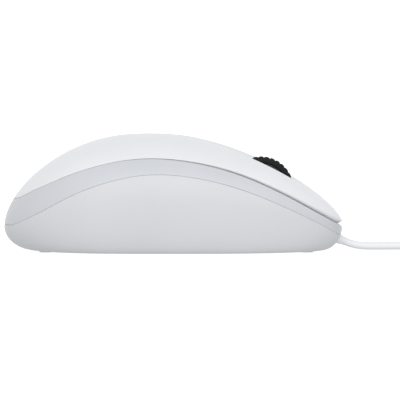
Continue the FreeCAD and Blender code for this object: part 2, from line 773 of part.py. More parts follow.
# ---------------------------------------------------------------------------------------------------------
# Cord, strain relief, coil and plug
# ---------------------------------------------------------------------------------------------------------
def rounded_route(points):
    """Straight runs joined by tangent arcs, each arc as large as its two runs allow."""
    edges = []
    position = points[0]
    for before, corner, after in zip(points, points[1:], points[2:]):
        arriving = (corner - before).normalize()
        leaving = (after - corner).normalize()
        half_turn = arriving.getAngle(leaving) / 2
        reach = 0.45 * min(before.distanceToPoint(corner), after.distanceToPoint(corner))
        radius = reach / math.tan(half_turn)
        print("  arc radius %.1f mm, turn %.1f degrees" % (radius, math.degrees(2 * half_turn)))
        start = corner - arriving * reach
        end = corner + leaving * reach
        bisector = (leaving - arriving).normalize()
        middle = corner + bisector * (radius / math.cos(half_turn) - radius)
        if position.distanceToPoint(start) > 1e-6:
            edges.append(Part.LineSegment(position, start).toShape())
        edges.append(Part.Arc(start, middle, end).toShape())
        position = end
    edges.append(Part.LineSegment(position, points[-1]).toShape())
    return Part.Wire(edges)


def tube(label, points, radius):
    """A round tube along a rounded route, its volume compared with section times length."""
    print(label)
    route = rounded_route([Vector(*point) for point in points])
    start = Vector(*points[0])
    way = (Vector(*points[1]) - start).normalize()
    section = Part.Wire([Part.Circle(start, way, radius).toShape()])
    shape = route.makePipeShell([section], True, False)
    wanted = math.pi * radius ** 2 * route.Length
    if abs(shape.Volume / wanted - 1) > 0.02:
        raise ValueError(label + ": the tube's volume is wrong")
    return add_shape(label, shape, exported=True)


relief = new_body("strain_relief")
sleeve = new_sketch(relief, 0.0, "XZ_Plane")
polygon(sleeve, [(0, -size("relief_inside")), (2.6, -size("relief_inside")),
                 (2.6, -size("relief_inside") + 1.2),
                 (size("relief_radius"), -size("relief_inside") + 1.2), (size("relief_radius"), 0.4),
                 (1.5, size("relief_outside")), (0, size("relief_outside"))])
revolve(relief, sleeve)
relief.Placement = Placement(EXIT, Rotation(Vector(0, 0, 1), EXIT_WAY))

cord_radius = mm("cord_diameter") / 2
cord_z = cord_radius + 0.02
relief_end = EXIT + EXIT_WAY * mm("relief_outside")
touch_down = relief_end + EXIT_WAY * ((relief_end.z - cord_z) / -EXIT_WAY.z)
coil_x = mm("coil_x")
coil_y = mm("coil_y")
CORD_ROUTE = [
    tuple(relief_end),
    tuple(touch_down),
    (70.0, 0.35, cord_z),
    (83.0, -0.25, cord_z + 0.1),
    (98.0, 0.0, cord_z + 0.55),
]
tube("cord", CORD_ROUTE, cord_radius)

coil = new_body("cord_coil")
bundle = new_sketch(coil, 0.0, "XZ_Plane")
mean = size("coil_mean_radius")
half_bundle = size("coil_section_width") / 2
low = size("coil_bottom")
high = size("coil_bottom") + size("coil_section_height")
ease = 1.6
polygon(bundle, [(mean - half_bundle, low + ease), (mean - half_bundle + ease, low),
                 (mean + half_bundle - ease, low),
                 (mean + half_bundle, low + ease), (mean + half_bundle, high - ease),
                 (mean + half_bundle - ease, high), (mean - half_bundle + ease, high),
                 (mean - half_bundle, high - ease)])
revolve(coil, bundle)
coil.Placement = Placement(Vector(coil_x, coil_y, 0), Rotation())

# The tie is a soft strap round the bundle, just before the tail leaves it.
tie = new_body("coil_tie")
strap = new_sketch(tie, 0.0, "XZ_Plane")
skin = size("tie_thickness")
slack = 0.04
rectangle(strap, mean - half_bundle - skin, mean + half_bundle + skin, low - skin, high + skin)
rectangle(strap, mean - half_bundle - slack, mean + half_bundle + slack, low - slack, high + slack)
revolve(tie, strap, mm("tie_arc"))
tie.Placement = Placement(Vector(coil_x, coil_y, 0), Rotation(Vector(0, 0, 1), 180 - mm("tie_arc") / 2))

plug_x = mm("plug_x")
plug_y = mm("plug_y")
plug_z = mm("plug_z")
coil_top = mm("coil_bottom") + mm("coil_section_height")
tail_angle = math.radians(196)
TAIL_ROUTE = [
    (coil_x + 19.0 * math.cos(tail_angle), coil_y + 19.0 * math.sin(tail_angle), coil_top - cord_radius),
    (88.6, 4.6, 7.0),
    (92.6, -5.6, 4.6),
    (99.5, plug_y, 3.8),
    (plug_x, plug_y, plug_z),
]
tube("cord_tail", TAIL_ROUTE, cord_radius)

grip = new_body("usb_plug_body")
neck = new_sketch(grip, 0.0)
circle(neck, 0.0, 0.0, 2.2)
pad(grip, neck, size("plug_neck"))
handle = new_sketch(grip, size("plug_neck"))
rectangle(handle, -size("plug_width") / 2, size("plug_width") / 2, -size("plug_thickness") / 2,
          size("plug_thickness") / 2)
pad(grip, handle, size("plug_grip_length"))
round_edges(grip, 1.5, is_line_along(Vector(0, 0, 1)))
nest = new_sketch(grip, size("plug_neck") + size("plug_grip_length"))
rectangle(nest, -size("usb_width") / 2, size("usb_width") / 2,
          -size("usb_thickness") / 2, size("usb_thickness") / 2)
pocket(grip, nest, size("usb_length") - size("usb_free_length"))
PLUG_TURN = Rotation(Vector(0, 0, 1), -90).multiply(Rotation(Vector(1, 0, 0), -90))
grip.Placement = Placement(Vector(plug_x, plug_y, plug_z), PLUG_TURN)

mouth = plug_x + mm("plug_neck") + mm("plug_grip_length") + mm("usb_free_length")
usb_base = mouth - mm("usb_length")
shell = new_body("usb_plug_shell")
tin = new_sketch(shell, 0.0)
usb_half = size("usb_width") / 2
usb_thick = size("usb_thickness") / 2
rectangle(tin, -usb_half, usb_half, -usb_thick, usb_thick)
hollow = size("usb_sheet")
rectangle(tin, -usb_half + hollow, usb_half - hollow, -usb_thick + hollow, usb_thick - hollow)
pad(shell, tin, size("usb_length"))
dimples = new_sketch(shell, usb_thick, "XZ_Plane")
for side in (1, -1):
    rectangle(dimples, 2.6 * side - 1.2, 2.6 * side + 1.2, size("usb_length") - 7.6, size("usb_length") - 5.4)
cut = add_feature(shell, "Pocket", "pocket")
cut.Profile = dimples
cut.Midplane = True
bind(cut, "Length", size("usb_thickness") * 3)
doc.recompute()
shell.Placement = Placement(Vector(usb_base, plug_y, plug_z), PLUG_TURN)

tongue = block("usb_tongue", -usb_half + hollow, usb_half - hollow, -0.1, usb_thick - hollow, 0.0,
               size("usb_length") - 0.5)
tongue.Placement = Placement(Vector(usb_base, plug_y, plug_z), PLUG_TURN)
contacts = new_body("usb_contacts")
contacts.AllowCompound = True
for position in (-3.5, -1.0, 1.0, 3.5):
    strip = new_sketch(contacts, size("usb_free_length") - 1)
    rectangle(strip, position - 0.5, position + 0.5, -0.2, -0.1)
    pad(contacts, strip, 6.4)
contacts.Placement = Placement(Vector(usb_base, plug_y, plug_z), PLUG_TURN)

# Inside the base the cord runs back under the board, and its four wires rise through a slot to the header.
relief_root = EXIT - EXIT_WAY * mm("relief_inside")
tube("cord_inside", [tuple(relief_root), (48.2, 0.4, 4.9), (40.0, 4.6, 4.7), (29.0, 9.6, 4.7)], cord_radius)
wires = []
for number in range(4):
    offset = 0.72 * (number - 1.5)
    points = [(28.8, 9.6 + offset, 4.7), (22.0, 11.3 + 0.9 * offset, 5.4), (17.6, 11.4 + 0.8 * offset, 10.4),
              (10.7, 12.8 + 1.4 * offset, 11.0)]
    route = rounded_route([Vector(*point) for point in points])
    start = Vector(*points[0])
    ring = Part.Circle(start, Vector(*points[1]) - start, 0.3).toShape()
    wires.append(route.makePipeShell([Part.Wire([ring])], True, False))
add_shape("signal_wires", Part.makeCompound(wires), exported=True)

# ---------------------------------------------------------------------------------------------------------
# Checks and export
# ---------------------------------------------------------------------------------------------------------
doc.recompute()
for item in doc.Objects:
    if "Invalid" in item.State or "Error" in item.State:
        raise ValueError(item.Label + ": failed to build")
os.makedirs("parts", exist_ok=True)
for item in subparts:
    if item.Shape.isNull() or not item.Shape.isValid() or not item.Shape.Solids:
        raise ValueError(item.Label + ": no valid solid")
    print("%-24s %2d solid(s) %10.1f mm3" % (item.Label, len(item.Shape.Solids), item.Shape.Volume))
    item.Shape.exportStep("parts/" + item.Label + ".step")
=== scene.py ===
"""Looks of a wired desktop mouse, built round its CAD frame.

Row frame: +X is the nose, +Y the left side, +Z up. Shapes are worked out in millimetres, like the CAD, and
turned into metres where a mesh or curve is made.
"""

import math

import bmesh
import bpy
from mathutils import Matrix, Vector


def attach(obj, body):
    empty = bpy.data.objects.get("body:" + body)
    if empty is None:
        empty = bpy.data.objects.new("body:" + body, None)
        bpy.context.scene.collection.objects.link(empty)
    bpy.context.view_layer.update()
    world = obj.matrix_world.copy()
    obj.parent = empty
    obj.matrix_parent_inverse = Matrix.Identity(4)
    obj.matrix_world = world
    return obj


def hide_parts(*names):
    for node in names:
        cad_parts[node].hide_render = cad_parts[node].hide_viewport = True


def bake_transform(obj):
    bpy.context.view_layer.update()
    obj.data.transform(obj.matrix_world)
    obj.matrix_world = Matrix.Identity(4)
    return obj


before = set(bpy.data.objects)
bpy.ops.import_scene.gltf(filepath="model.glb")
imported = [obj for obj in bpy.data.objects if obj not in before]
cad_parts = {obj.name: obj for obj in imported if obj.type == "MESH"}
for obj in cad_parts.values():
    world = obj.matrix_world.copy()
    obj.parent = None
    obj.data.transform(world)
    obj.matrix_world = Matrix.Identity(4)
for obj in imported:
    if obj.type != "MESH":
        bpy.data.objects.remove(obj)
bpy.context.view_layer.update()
MM = 0.001


def smooth(share):
    """A share held between 0 and 1 and eased at both ends."""
    share = min(1.0, max(0.0, share))
    return share * share * (3 - 2 * share)



# ---------------------------------------------------------------------------------------------------------
# Camera
# ---------------------------------------------------------------------------------------------------------
VIEW_WIDTH = 0.1337
VIEW_CENTRE = Vector((0.00886, 0.0, 0.0167))
VIEW_DISTANCE = 1.2
VIEW_ELEVATION = math.radians(3.4)

camera_data = bpy.data.cameras.new("camera")
camera_data.sensor_width = 36
camera_data.lens = 36 * VIEW_DISTANCE / VIEW_WIDTH
camera_data.clip_start = 0.05
camera_data.clip_end = 20
camera = bpy.data.objects.new("camera", camera_data)
bpy.context.scene.collection.objects.link(camera)
view_way = Vector((0, -math.cos(VIEW_ELEVATION), math.sin(VIEW_ELEVATION)))
camera.location = VIEW_CENTRE + view_way * VIEW_DISTANCE
camera.rotation_euler = (math.pi / 2 - VIEW_ELEVATION, 0, 0)
bpy.context.scene.camera = camera


# ---------------------------------------------------------------------------------------------------------
# Materials
# ---------------------------------------------------------------------------------------------------------
def material(name, colour, roughness, mottle=0.03, mottle_scale=60, grain=0.05, grain_scale=2500,
             roughness_spread=0.08, metallic=0.0, transmission=0.0, sheen=0.0, specular=0.5):
    """A moulded finish: a faint cloudy colour change, uneven gloss and a fine grain in the surface."""
    result = bpy.data.materials.new(name)
    result.use_nodes = True
    nodes = result.node_tree.nodes
    links = result.node_tree.links
    shader = nodes["Principled BSDF"]
    shader.inputs["Metallic"].default_value = metallic
    shader.inputs["Specular IOR Level"].default_value = specular
    shader.inputs["Transmission Weight"].default_value = transmission
    shader.inputs["Sheen Weight"].default_value = sheen
    where = nodes.new("ShaderNodeTexCoord")

    cloud = nodes.new("ShaderNodeTexNoise")
    cloud.inputs["Scale"].default_value = mottle_scale
    cloud.inputs["Detail"].default_value = 3
    links.new(where.outputs["Object"], cloud.inputs["Vector"])
    tint = nodes.new("ShaderNodeMixRGB")
    tint.inputs["Color1"].default_value = tuple(c * (1 - mottle) for c in colour) + (1,)
    tint.inputs["Color2"].default_value = tuple(min(1, c * (1 + mottle)) for c in colour) + (1,)
    links.new(cloud.outputs["Fac"], tint.inputs["Fac"])
    links.new(tint.outputs["Color"], shader.inputs["Base Color"])

    speck = nodes.new("ShaderNodeTexNoise")
    speck.inputs["Scale"].default_value = grain_scale
    speck.inputs["Detail"].default_value = 2
    links.new(where.outputs["Object"], speck.inputs["Vector"])
    gloss = nodes.new("ShaderNodeMapRange")
    gloss.inputs["To Min"].default_value = roughness - roughness_spread
    gloss.inputs["To Max"].default_value = roughness + roughness_spread
    links.new(speck.outputs["Fac"], gloss.inputs["Value"])
    links.new(gloss.outputs["Result"], shader.inputs["Roughness"])
    bump = nodes.new("ShaderNodeBump")
    bump.inputs["Strength"].default_value = grain
    bump.inputs["Distance"].default_value = 0.0001
    links.new(speck.outputs["Fac"], bump.inputs["Height"])
    links.new(bump.outputs["Normal"], shader.inputs["Normal"])
    return result


COVER = material("cover_plastic", (0.715, 0.73, 0.75), 0.42, grain=0.06)
BAND = material("band_plastic", (0.545, 0.562, 0.595), 0.38, grain=0.05)
BASE = material("base_plastic", (0.588, 0.598, 0.623), 0.50, grain=0.10)
RUBBER = material("tyre_rubber", (0.013, 0.013, 0.014), 0.80, mottle=0.2, grain=0.35, grain_scale=4000,
                  specular=0.2)
HUB = material("hub_nylon", (0.03, 0.031, 0.034), 0.50)
CORD = material("cord_vinyl", (0.76, 0.77, 0.785), 0.42, grain=0.12, grain_scale=3000)
FOOT = material("skid_pad", (0.55, 0.56, 0.57), 0.30, grain=0.2)
LABEL = material("blank_sticker", (0.50, 0.51, 0.53), 0.35, grain=0.02)
BOARD = material("solder_mask", (0.015, 0.16, 0.06), 0.30, mottle=0.2, mottle_scale=400)
STEEL = material("plated_steel", (0.62, 0.62, 0.64), 0.28, metallic=1.0, grain=0.04)
GOLD = material("gold_flash", (0.83, 0.58, 0.20), 0.25, metallic=1.0, grain=0.02)
BLACK = material("moulded_black", (0.02, 0.02, 0.022), 0.45)
NYLON = material("white_nylon", (0.72, 0.72, 0.70), 0.42)
CLEAR = material("clear_plastic", (0.80, 0.86, 0.92), 0.10, transmission=0.8, grain=0.0,
                 roughness_spread=0.03)
RED = material("red_epoxy", (0.60, 0.03, 0.02), 0.15, transmission=0.4, grain=0.0, roughness_spread=0.03)
ORANGE = material("dipped_ceramic", (0.70, 0.30, 0.04), 0.30)
WIRE = material("wire_jackets", (0.45, 0.06, 0.05), 0.40)
STRAP = material("strap_fabric", (0.016, 0.016, 0.018), 0.85, mottle=0.5, mottle_scale=900, grain=0.8,
                 grain_scale=1800, sheen=0.4)

CAD_FINISH = {
    FOOT: ("front_foot", "rear_foot"),
    LABEL: ("blank_label",),
    BOARD: ("circuit_board",),
    STEEL: ("case_screw", "board_screws", "switch_terminals", "detent_spring", "usb_plug_shell"),
    GOLD: ("usb_contacts",),
    BLACK: ("left_switch", "right_switch", "middle_switch", "optical_sensor", "ir_detector", "capacitor",
            "chip_resistors", "led_clip"),
    NYLON: ("left_switch_plunger", "right_switch_plunger", "middle_switch_plunger", "cable_header",
            "cable_connector", "usb_tongue"),
    CLEAR: ("sensor_lens", "ir_emitter"),
    RED: ("sensor_led",),
    ORANGE: ("resonator",),
    WIRE: ("signal_wires",),
    HUB: ("wheel_hub", "wheel_cradle"),
    CORD: ("cord_inside",),
}
for finish, names in CAD_FINISH.items():
    for node_name in names:
        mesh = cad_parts[node_name].data
        mesh.materials.clear()
        mesh.materials.append(finish)


def link_mesh(name, points, faces, finish, normals=None):
    """A smooth-shaded mesh from points in millimetres, with its own normals where they are given."""
    mesh = bpy.data.meshes.new(name)
    mesh.from_pydata([Vector(point) * MM for point in points], [], faces)
    mesh.validate()
    mesh.shade_smooth()
    if normals is not None:
        mesh.normals_split_custom_set_from_vertices([tuple(normal) for normal in normals])
    mesh.materials.append(finish)
    piece = bpy.data.objects.new(name, mesh)
    bpy.context.scene.collection.objects.link(piece)
    return piece


# ---------------------------------------------------------------------------------------------------------
# Cord, coil and plug
# ---------------------------------------------------------------------------------------------------------
CORD_DIAMETER = 2.6
CORD_Z = CORD_DIAMETER / 2 + 0.02
EXIT = Vector((56.2, 0, 3.35))
EXIT_ANGLE = math.radians(23)
EXIT_WAY = Vector((math.cos(EXIT_ANGLE), 0, -math.sin(EXIT_ANGLE)))
RELIEF_OUTSIDE = 1.5
cord_start = EXIT + EXIT_WAY * RELIEF_OUTSIDE
touch_down = cord_start + EXIT_WAY * ((cord_start.z - CORD_Z) / -EXIT_WAY.z)

COIL_CENTRE = Vector((104.0, 20.4, 0))
COIL_RADIUS = 15.0
COIL_LOW = 0.55 + CORD_DIAMETER / 2
TURN_PITCH = 2.68
LAYER_PITCH = 2.32
PLUG = Vector((107.0, -10.5, 3.75))

route = [cord_start, touch_down, Vector((70.0, 0.35, CORD_Z)), Vector((83.0, -0.25, CORD_Z + 0.1))]

# The turns fill the bundle layer by layer, out and back, five and four to a layer.
slots = []
for layer in range(4):
    columns = [-2, -1, 0, 1, 2] if layer % 2 == 0 else [-1.5, -0.5, 0.5, 1.5]
    if layer % 2 == 0:
        columns.reverse()
    slots += [(COIL_RADIUS + column * TURN_PITCH, COIL_LOW + layer * LAYER_PITCH) for column in columns]
STEPS = 20
START_ANGLE = -math.pi / 2
UNWOUND = 0.21
CROSSING_FROM = 0.72
CROSSING_RUN = 0.28
turns = len(slots) - UNWOUND
for step in range(1, int(turns * STEPS) + 1):
    turn = step / STEPS
    index = min(int(turn), len(slots) - 1)
    following = min(index + 1, len(slots) - 1)
    # A turn keeps to its own slot and crosses to the next one in the last part of its way round.
    crossing = smooth((turn - index - CROSSING_FROM) / CROSSING_RUN)
    radius = slots[index][0] * (1 - crossing) + slots[following][0] * crossing
    height = slots[index][1] * (1 - crossing) + slots[following][1] * crossing
    angle = START_ANGLE + 2 * math.pi * turn
    route.append(COIL_CENTRE + Vector((radius * math.cos(angle), radius * math.sin(angle), height)))
route += [Vector((88.6, 4.6, 7.0)), Vector((92.6, -5.6, 4.6)), Vector((99.5, PLUG.y, 3.8)), PLUG.copy()]


def free_cord(name, points, diameter, finish):
    """One smooth NURBS line with a round section."""
    curve = bpy.data.curves.new(name, "CURVE")
    curve.dimensions = "3D"
    spline = curve.splines.new("NURBS")
    spline.points.add(len(points) - 1)
    for item, point in zip(spline.points, points):
        item.co = (*(point * MM), 1)
    spline.order_u = 3
    spline.use_endpoint_u = True
    curve.resolution_u = 6
    curve.bevel_depth = diameter / 2 * MM
    curve.bevel_resolution = 5
    curve.use_fill_caps = True
    curve.materials.append(finish)
    piece = bpy.data.objects.new(name, curve)
    bpy.context.scene.collection.objects.link(piece)
    return piece


cord = free_cord("cord_line", route, CORD_DIAMETER, CORD)
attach(cord, "mouse")
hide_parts("cord", "cord_coil", "cord_tail")

# ---------------------------------------------------------------------------------------------------------
# The outer form, the same rule as the CAD's
# ---------------------------------------------------------------------------------------------------------
LENGTH = 113.0
WIDTH = 62.0
HEIGHT = 39.0
CROWN_X = -8.0
UNDERSIDE_Z = 0.6
WIDEST_Z = (9.3, 8.2, 17.0)
PLAN_POWER = (2.75, 2.35, 2.5)
DOME_POWER = (0.97, 1.94, 2.6)
DOME_ROOT = (1.59, 1.73, 2.2)
TUCK = (6.0, 9.0, 4.5)
DOME_EASE = 0.35


def mixed(turn, character):
    """A character given for the front, rear and sides, at one angle round the plan."""
    front, rear, side = character
    cosine = math.cos(turn)
    return (front if cosine > 0 else rear) * cosine ** 2 + side * math.sin(turn) ** 2


def half_length(front):
    return LENGTH / 2 - CROWN_X if front else LENGTH / 2 + CROWN_X


def plan_point(turn):
    cosine = math.cos(turn)
    sine = math.sin(turn)
    power = mixed(turn, PLAN_POWER)
    scale = (abs(cosine) ** power + abs(sine) ** power) ** (-1 / power)
    return half_length(cosine >= 0) * scale * cosine, WIDTH / 2 * scale * sine


def dome_z(turn, ratio):
    """Height of the dome at a fraction of the way from the crown to the widest line."""
    power = 2 + (mixed(turn, DOME_POWER) - 2) * smooth(ratio / DOME_EASE)
    lift = max(0.0, 1 - ratio ** power) ** (1 / mixed(turn, DOME_ROOT))
    widest = mixed(turn, WIDEST_Z)
    return widest + (HEIGHT - widest) * lift


def form_point(turn, level):
    """A point of the form: level 0 is the crown, 1 the widest line, 2 the edge of the flat underside."""
    x, y = plan_point(turn)
    if level <= 1:
        ratio = math.sin(level * math.pi / 2)
        return Vector((CROWN_X + x * ratio, y * ratio, dome_z(turn, ratio)))
    angle = (level - 1) * math.pi / 2
    ratio = 1 - mixed(turn, TUCK) * (1 - math.cos(angle)) / math.hypot(x, y)
    widest = mixed(turn, WIDEST_Z)
    return Vector((CROWN_X + x * ratio, y * ratio, widest - (widest - UNDERSIDE_Z) * math.sin(angle)))


def form_normal(turn, level):
    step = 1e-3
    low = max(level - step, 0.02)
    high = min(level + step, 2.0)
    down = form_point(turn, high) - form_point(turn, low)
    along = form_point(turn + step, level) - form_point(turn - step, level)
    return down.cross(along).normalized()


def cover_point(x, y):
    """The point of the dome over a place in the plan."""
    across = x - CROWN_X
    turn = math.atan2(y / (WIDTH / 2), across / half_length(across >= 0))
    reach = math.hypot(*plan_point(turn))
    ratio = min(1.0, math.hypot(across, y) / reach)
    return Vector((x, y, dome_z(turn, ratio)))


def cover_normal(x, y):
    step = 0.02
    along_x = cover_point(x + step, y) - cover_point(x - step, y)
    along_y = cover_point(x, y + step) - cover_point(x, y - step)
    return along_x.cross(along_y).normalized()


UPPER_SEAM = [(-60, 16.6), (-52.2, 17.8), (-44.6, 21.6), (-31.3, 27.3), (-17.9, 30.8), (-5, 31.65),
              (8.9, 29.95), (22.2, 26.2), (35.6, 20.25), (49.0, 12.75), (56, 8.5), (62, 4.9)]
LOWER_SEAM = [(-62, 8.4), (-56.3, 8.9), (-52.7, 9.5), (-44.6, 13.55), (-31.3, 20.55), (-17.9, 25.1),
              (-5, 26.7), (8.9, 25.3), (22.2, 21.8), (35.6, 16.35), (49.0, 9.6), (56, 5.2), (62, 1.7)]


def seam_z(seam, x):
    """A seam's height at x, on a smooth curve through its points."""
    index = 1
    while index < len(seam) - 2 and x > seam[index][0]:
        index += 1
    (x0, z0), (x1, z1) = seam[index - 1], seam[index]
    before = seam[max(index - 2, 0)]
    after = seam[min(index + 1, len(seam) - 1)]
    slope0 = (z1 - before[1]) / (x1 - before[0])
    slope1 = (after[1] - z0) / (after[0] - x0)
    span = x1 - x0
    t = (x - x0) / span
    return ((2 * t ** 3 - 3 * t ** 2 + 1) * z0 + (t ** 3 - 2 * t ** 2 + t) * span * slope0
            + (3 * t ** 2 - 2 * t ** 3) * z1 + (t ** 3 - t ** 2) * span * slope1)


# The gap between the cover and the band is REAR_GAP at the rear and FRONT_GAP ahead of the hinge line.
# NOSE_GAP is added to it by degrees towards the nose, where the keys go down the most. At the very tip
# NOTCH_UP and NOTCH_DOWN open it into a notch. BASE_GAP is the gap between the band and the base.
HINGE_X = -4.0
REAR_GAP = 0.05
FRONT_GAP = 0.20
BASE_GAP = 0.03
NOSE_GAP = 1.0
NOSE_GAP_POWER = 1.3
NOTCH_FROM = 53.8
NOTCH_RUN = 1.8
NOTCH_UP = 0.25
NOTCH_DOWN = 0.35
FORWARD_FROM = -24.0
FORWARD_RUN = 24.0


def nose_share(x):
    """Runs smoothly from 0 to 1 over the last millimetres of the nose, where the gap opens into a notch."""
    return smooth((x - NOTCH_FROM) / NOTCH_RUN)


def forward_share(x):
    """Runs smoothly from 0 well behind the hinge line to 1 just ahead of it."""
    return smooth((x - FORWARD_FROM) / FORWARD_RUN)


def cover_edge_z(x):
    """The cover's lower edge: the upper seam and the gap that lets the keys go down."""
    along = max(0.0, (x - HINGE_X) / (LENGTH / 2 - HINGE_X))
    gap = REAR_GAP + (FRONT_GAP - REAR_GAP) * forward_share(x) + NOSE_GAP * along ** NOSE_GAP_POWER
    return seam_z(UPPER_SEAM, x) + gap + NOTCH_UP * nose_share(x)


def level_where(turn, height_at):
    """The level at which the form meets a height that changes with x, found by halving."""
    low, high = 0.05, 1.98
    for _ in range(40):
        middle = (low + high) / 2
        point = form_point(turn, middle)
        if point.z > height_at(point.x):
            low = middle
        else:
            high = middle
    return (low + high) / 2


def rolled_edge(point, normal, outwards, radius, wall, steps=5):
    """Points and normals from an edge of the skin, round a small radius and down the wall's thickness."""
    rim = []
    for step in range(1, steps + 1):
        angle = math.pi / 2 * step / steps
        place = point + outwards * radius * math.sin(angle) - normal * radius * (1 - math.cos(angle))
        rim.append((place, normal * math.cos(angle) + outwards * math.sin(angle)))
    rim.append((rim[-1][0] - normal * (wall - radius), outwards))
    return rim


AROUND = 200
WALL = 1.8


def ring_shell(name, columns, closed_section, finish):
    """A closed shell from a cross-section at each angle round the plan, each a list of (point, normal)."""
    size = len(columns[0])
    points = [point for column in columns for point, normal in column]
    normals = [normal for column in columns for point, normal in column]
    faces = []
    count = len(columns)
    for i in range(count):
        j = (i + 1) % count
        for k in range(size if closed_section else size - 1):
            m = (k + 1) % size
            faces.append((i * size + k, i * size + m, j * size + m, j * size + k))
    if not closed_section:
        faces.append([i * size for i in range(count)])
        faces.append([i * size + size - 1 for i in reversed(range(count))])
    return link_mesh(name, points, faces, finish, normals)


EDGE = 0.10
EDGE_SOFTER = 0.32
SOFTER_FROM = 52.5
SOFTER_RUN = 3.5
BAND_ROWS = 10
BASE_ROWS = 22


def edge_radius(x):
    """A shell edge's rounding: crisp along the sides, softer at the nose and the rear."""
    return EDGE + EDGE_SOFTER * smooth((abs(x) - SOFTER_FROM) / SOFTER_RUN)


def skin_strip(turn, upper, lower, rows):
    """Points and normals of the form down a meridian, from one level to another."""
    levels = [upper + (lower - upper) * row / rows for row in range(rows + 1)]
    return [(form_point(turn, level), form_normal(turn, level)) for level in levels]


def strip_rim(end, turn, level, sign):
    """The rolled edge at one end of a strip: sign is -1 at its upper end and 1 at its lower end."""
    point, normal = end
    step = 1e-3 * sign
    outwards = (form_point(turn, level + step) - form_point(turn, level)).normalized()
    return rolled_edge(point, normal, outwards, edge_radius(point.x), WALL)


# --- band --------------------------------------------------------------------------------------------------
band_columns = []
for index in range(AROUND):
    turn = 2 * math.pi * index / AROUND
    upper = level_where(turn, lambda x: seam_z(UPPER_SEAM, x) - edge_radius(x) - NOTCH_DOWN * nose_share(x))
    lower = level_where(turn, lambda x: seam_z(LOWER_SEAM, x) + edge_radius(x))
    skin = skin_strip(turn, upper, lower, BAND_ROWS)
    top_rim = strip_rim(skin[0], turn, upper, -1)
    low_rim = strip_rim(skin[-1], turn, lower, 1)
    band_columns.append(list(reversed(top_rim)) + skin + low_rim)
band = ring_shell("band_skin", band_columns, True, BAND)
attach(band, "mouse")
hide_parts("middle_frame")

# --- base --------------------------------------------------------------------------------------------------
base_columns = []
for index in range(AROUND):
    turn = 2 * math.pi * index / AROUND
    upper = level_where(turn, lambda x: seam_z(LOWER_SEAM, x) - BASE_GAP - edge_radius(x))
    skin = skin_strip(turn, upper, 2, BASE_ROWS)
    rim = strip_rim(skin[0], turn, upper, -1)
    inside = [(point - normal * WALL, -normal) for point, normal in skin[1:]]
    base_columns.append(list(reversed(inside)) + list(reversed(rim)) + skin)
base = ring_shell("base_skin", base_columns, False, BASE)


def cutter(name, points, low, high):
    """A prism used only to cut a hole."""
    count = len(points)
    places = [(x, y, z) for z in (low, high) for x, y in points]
    sides = [(i, (i + 1) % count, (i + 1) % count + count, i + count) for i in range(count)]
    ends = [list(reversed(range(count))), list(range(count, 2 * count))]
    return link_mesh(name, places, sides + ends, BASE)


def rounded_rectangle(x, y, half_x, half_y, radius, steps=6):
    """The outline of a rectangle about (x, y), with so many steps to each rounded corner."""
    corners = ((1, 1, 0), (-1, 1, 1), (-1, -1, 2), (1, -1, 3))
    outline = []
    for sign_x, sign_y, quarter in corners:
        for step in range(steps + 1):
            angle = math.pi / 2 * (quarter + step / steps)
            outline.append((x + sign_x * (half_x - radius) + radius * math.cos(angle),
                            y + sign_y * (half_y - radius) + radius * math.sin(angle)))
    return outline


def cut_hole(piece, tool):
    """Cuts the tool out of the piece and removes the tool."""
    change = piece.modifiers.new("hole", "BOOLEAN")
    change.operation = "DIFFERENCE"
    change.solver = "EXACT"
    change.object = tool
    bpy.context.view_layer.objects.active = piece
    with bpy.context.temp_override(object=piece, active_object=piece):
        bpy.ops.object.modifier_apply(modifier=change.name)
    bpy.data.objects.remove(tool)


# Each hole is a centre, two half sizes and a corner radius. Both go right through the floor of the base.
WINDOW = (4, 0, 6, 4, 1.2)
SCREW_HOLE = (-30, 0, 2.8, 2.8, 2.79)
HOLE_LOW = -1
HOLE_HIGH = 4
cut_hole(base, cutter("window_cutter", rounded_rectangle(*WINDOW), HOLE_LOW, HOLE_HIGH))
cut_hole(base, cutter("screw_cutter", rounded_rectangle(*SCREW_HOLE, 10), HOLE_LOW, HOLE_HIGH))
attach(base, "mouse")
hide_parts("base_case")

# --- top cover with its two keys --------------------------------------------------------------------------
SLIT_START = 3.0
HALF_SLIT = 0.2
SLOT_X = 31.3
SLOT_HALF = 11.7
SLOT_RADIUS = 4.4
SLIT_LIP = 0.16
HALVES_LIP = 0.003
FAN_REAR = -38.0
FAN_FRONT = 47.0
FAN_REAR_REACH = -46.0
FAN_FRONT_REACH = 51.5
FAN_LINES = 24
ACROSS = 30
# The rounding of the cover's lower edge is LIP at the rear. It grows ahead of the hinge line and under the
# keys, and is smaller again at the notch.
LIP = 0.10
LIP_FORWARD = 0.08
LIP_UNDER_KEY = 0.80
LIP_RUN = 40
LIP_NOTCH = 0.50
# How far the rim may reach out at a sharp corner, in units of its rounding.
LONGEST_MITRE = 1.5


def inner_y(x):
    """Half the width of the opening between the keys: closed, then the slit, then the wheel's slot."""
    along = abs(x - SLOT_X)
    straight = SLOT_HALF - SLOT_RADIUS
    if along <= straight:
        return SLOT_RADIUS
    if along < SLOT_HALF:
        return max(HALF_SLIT, math.sqrt(max(0.0, SLOT_RADIUS ** 2 - (along - straight) ** 2)))
    if x < SLIT_START:
        return 0.0
    return HALF_SLIT * min(1.0, (x - SLIT_START) / HALF_SLIT)


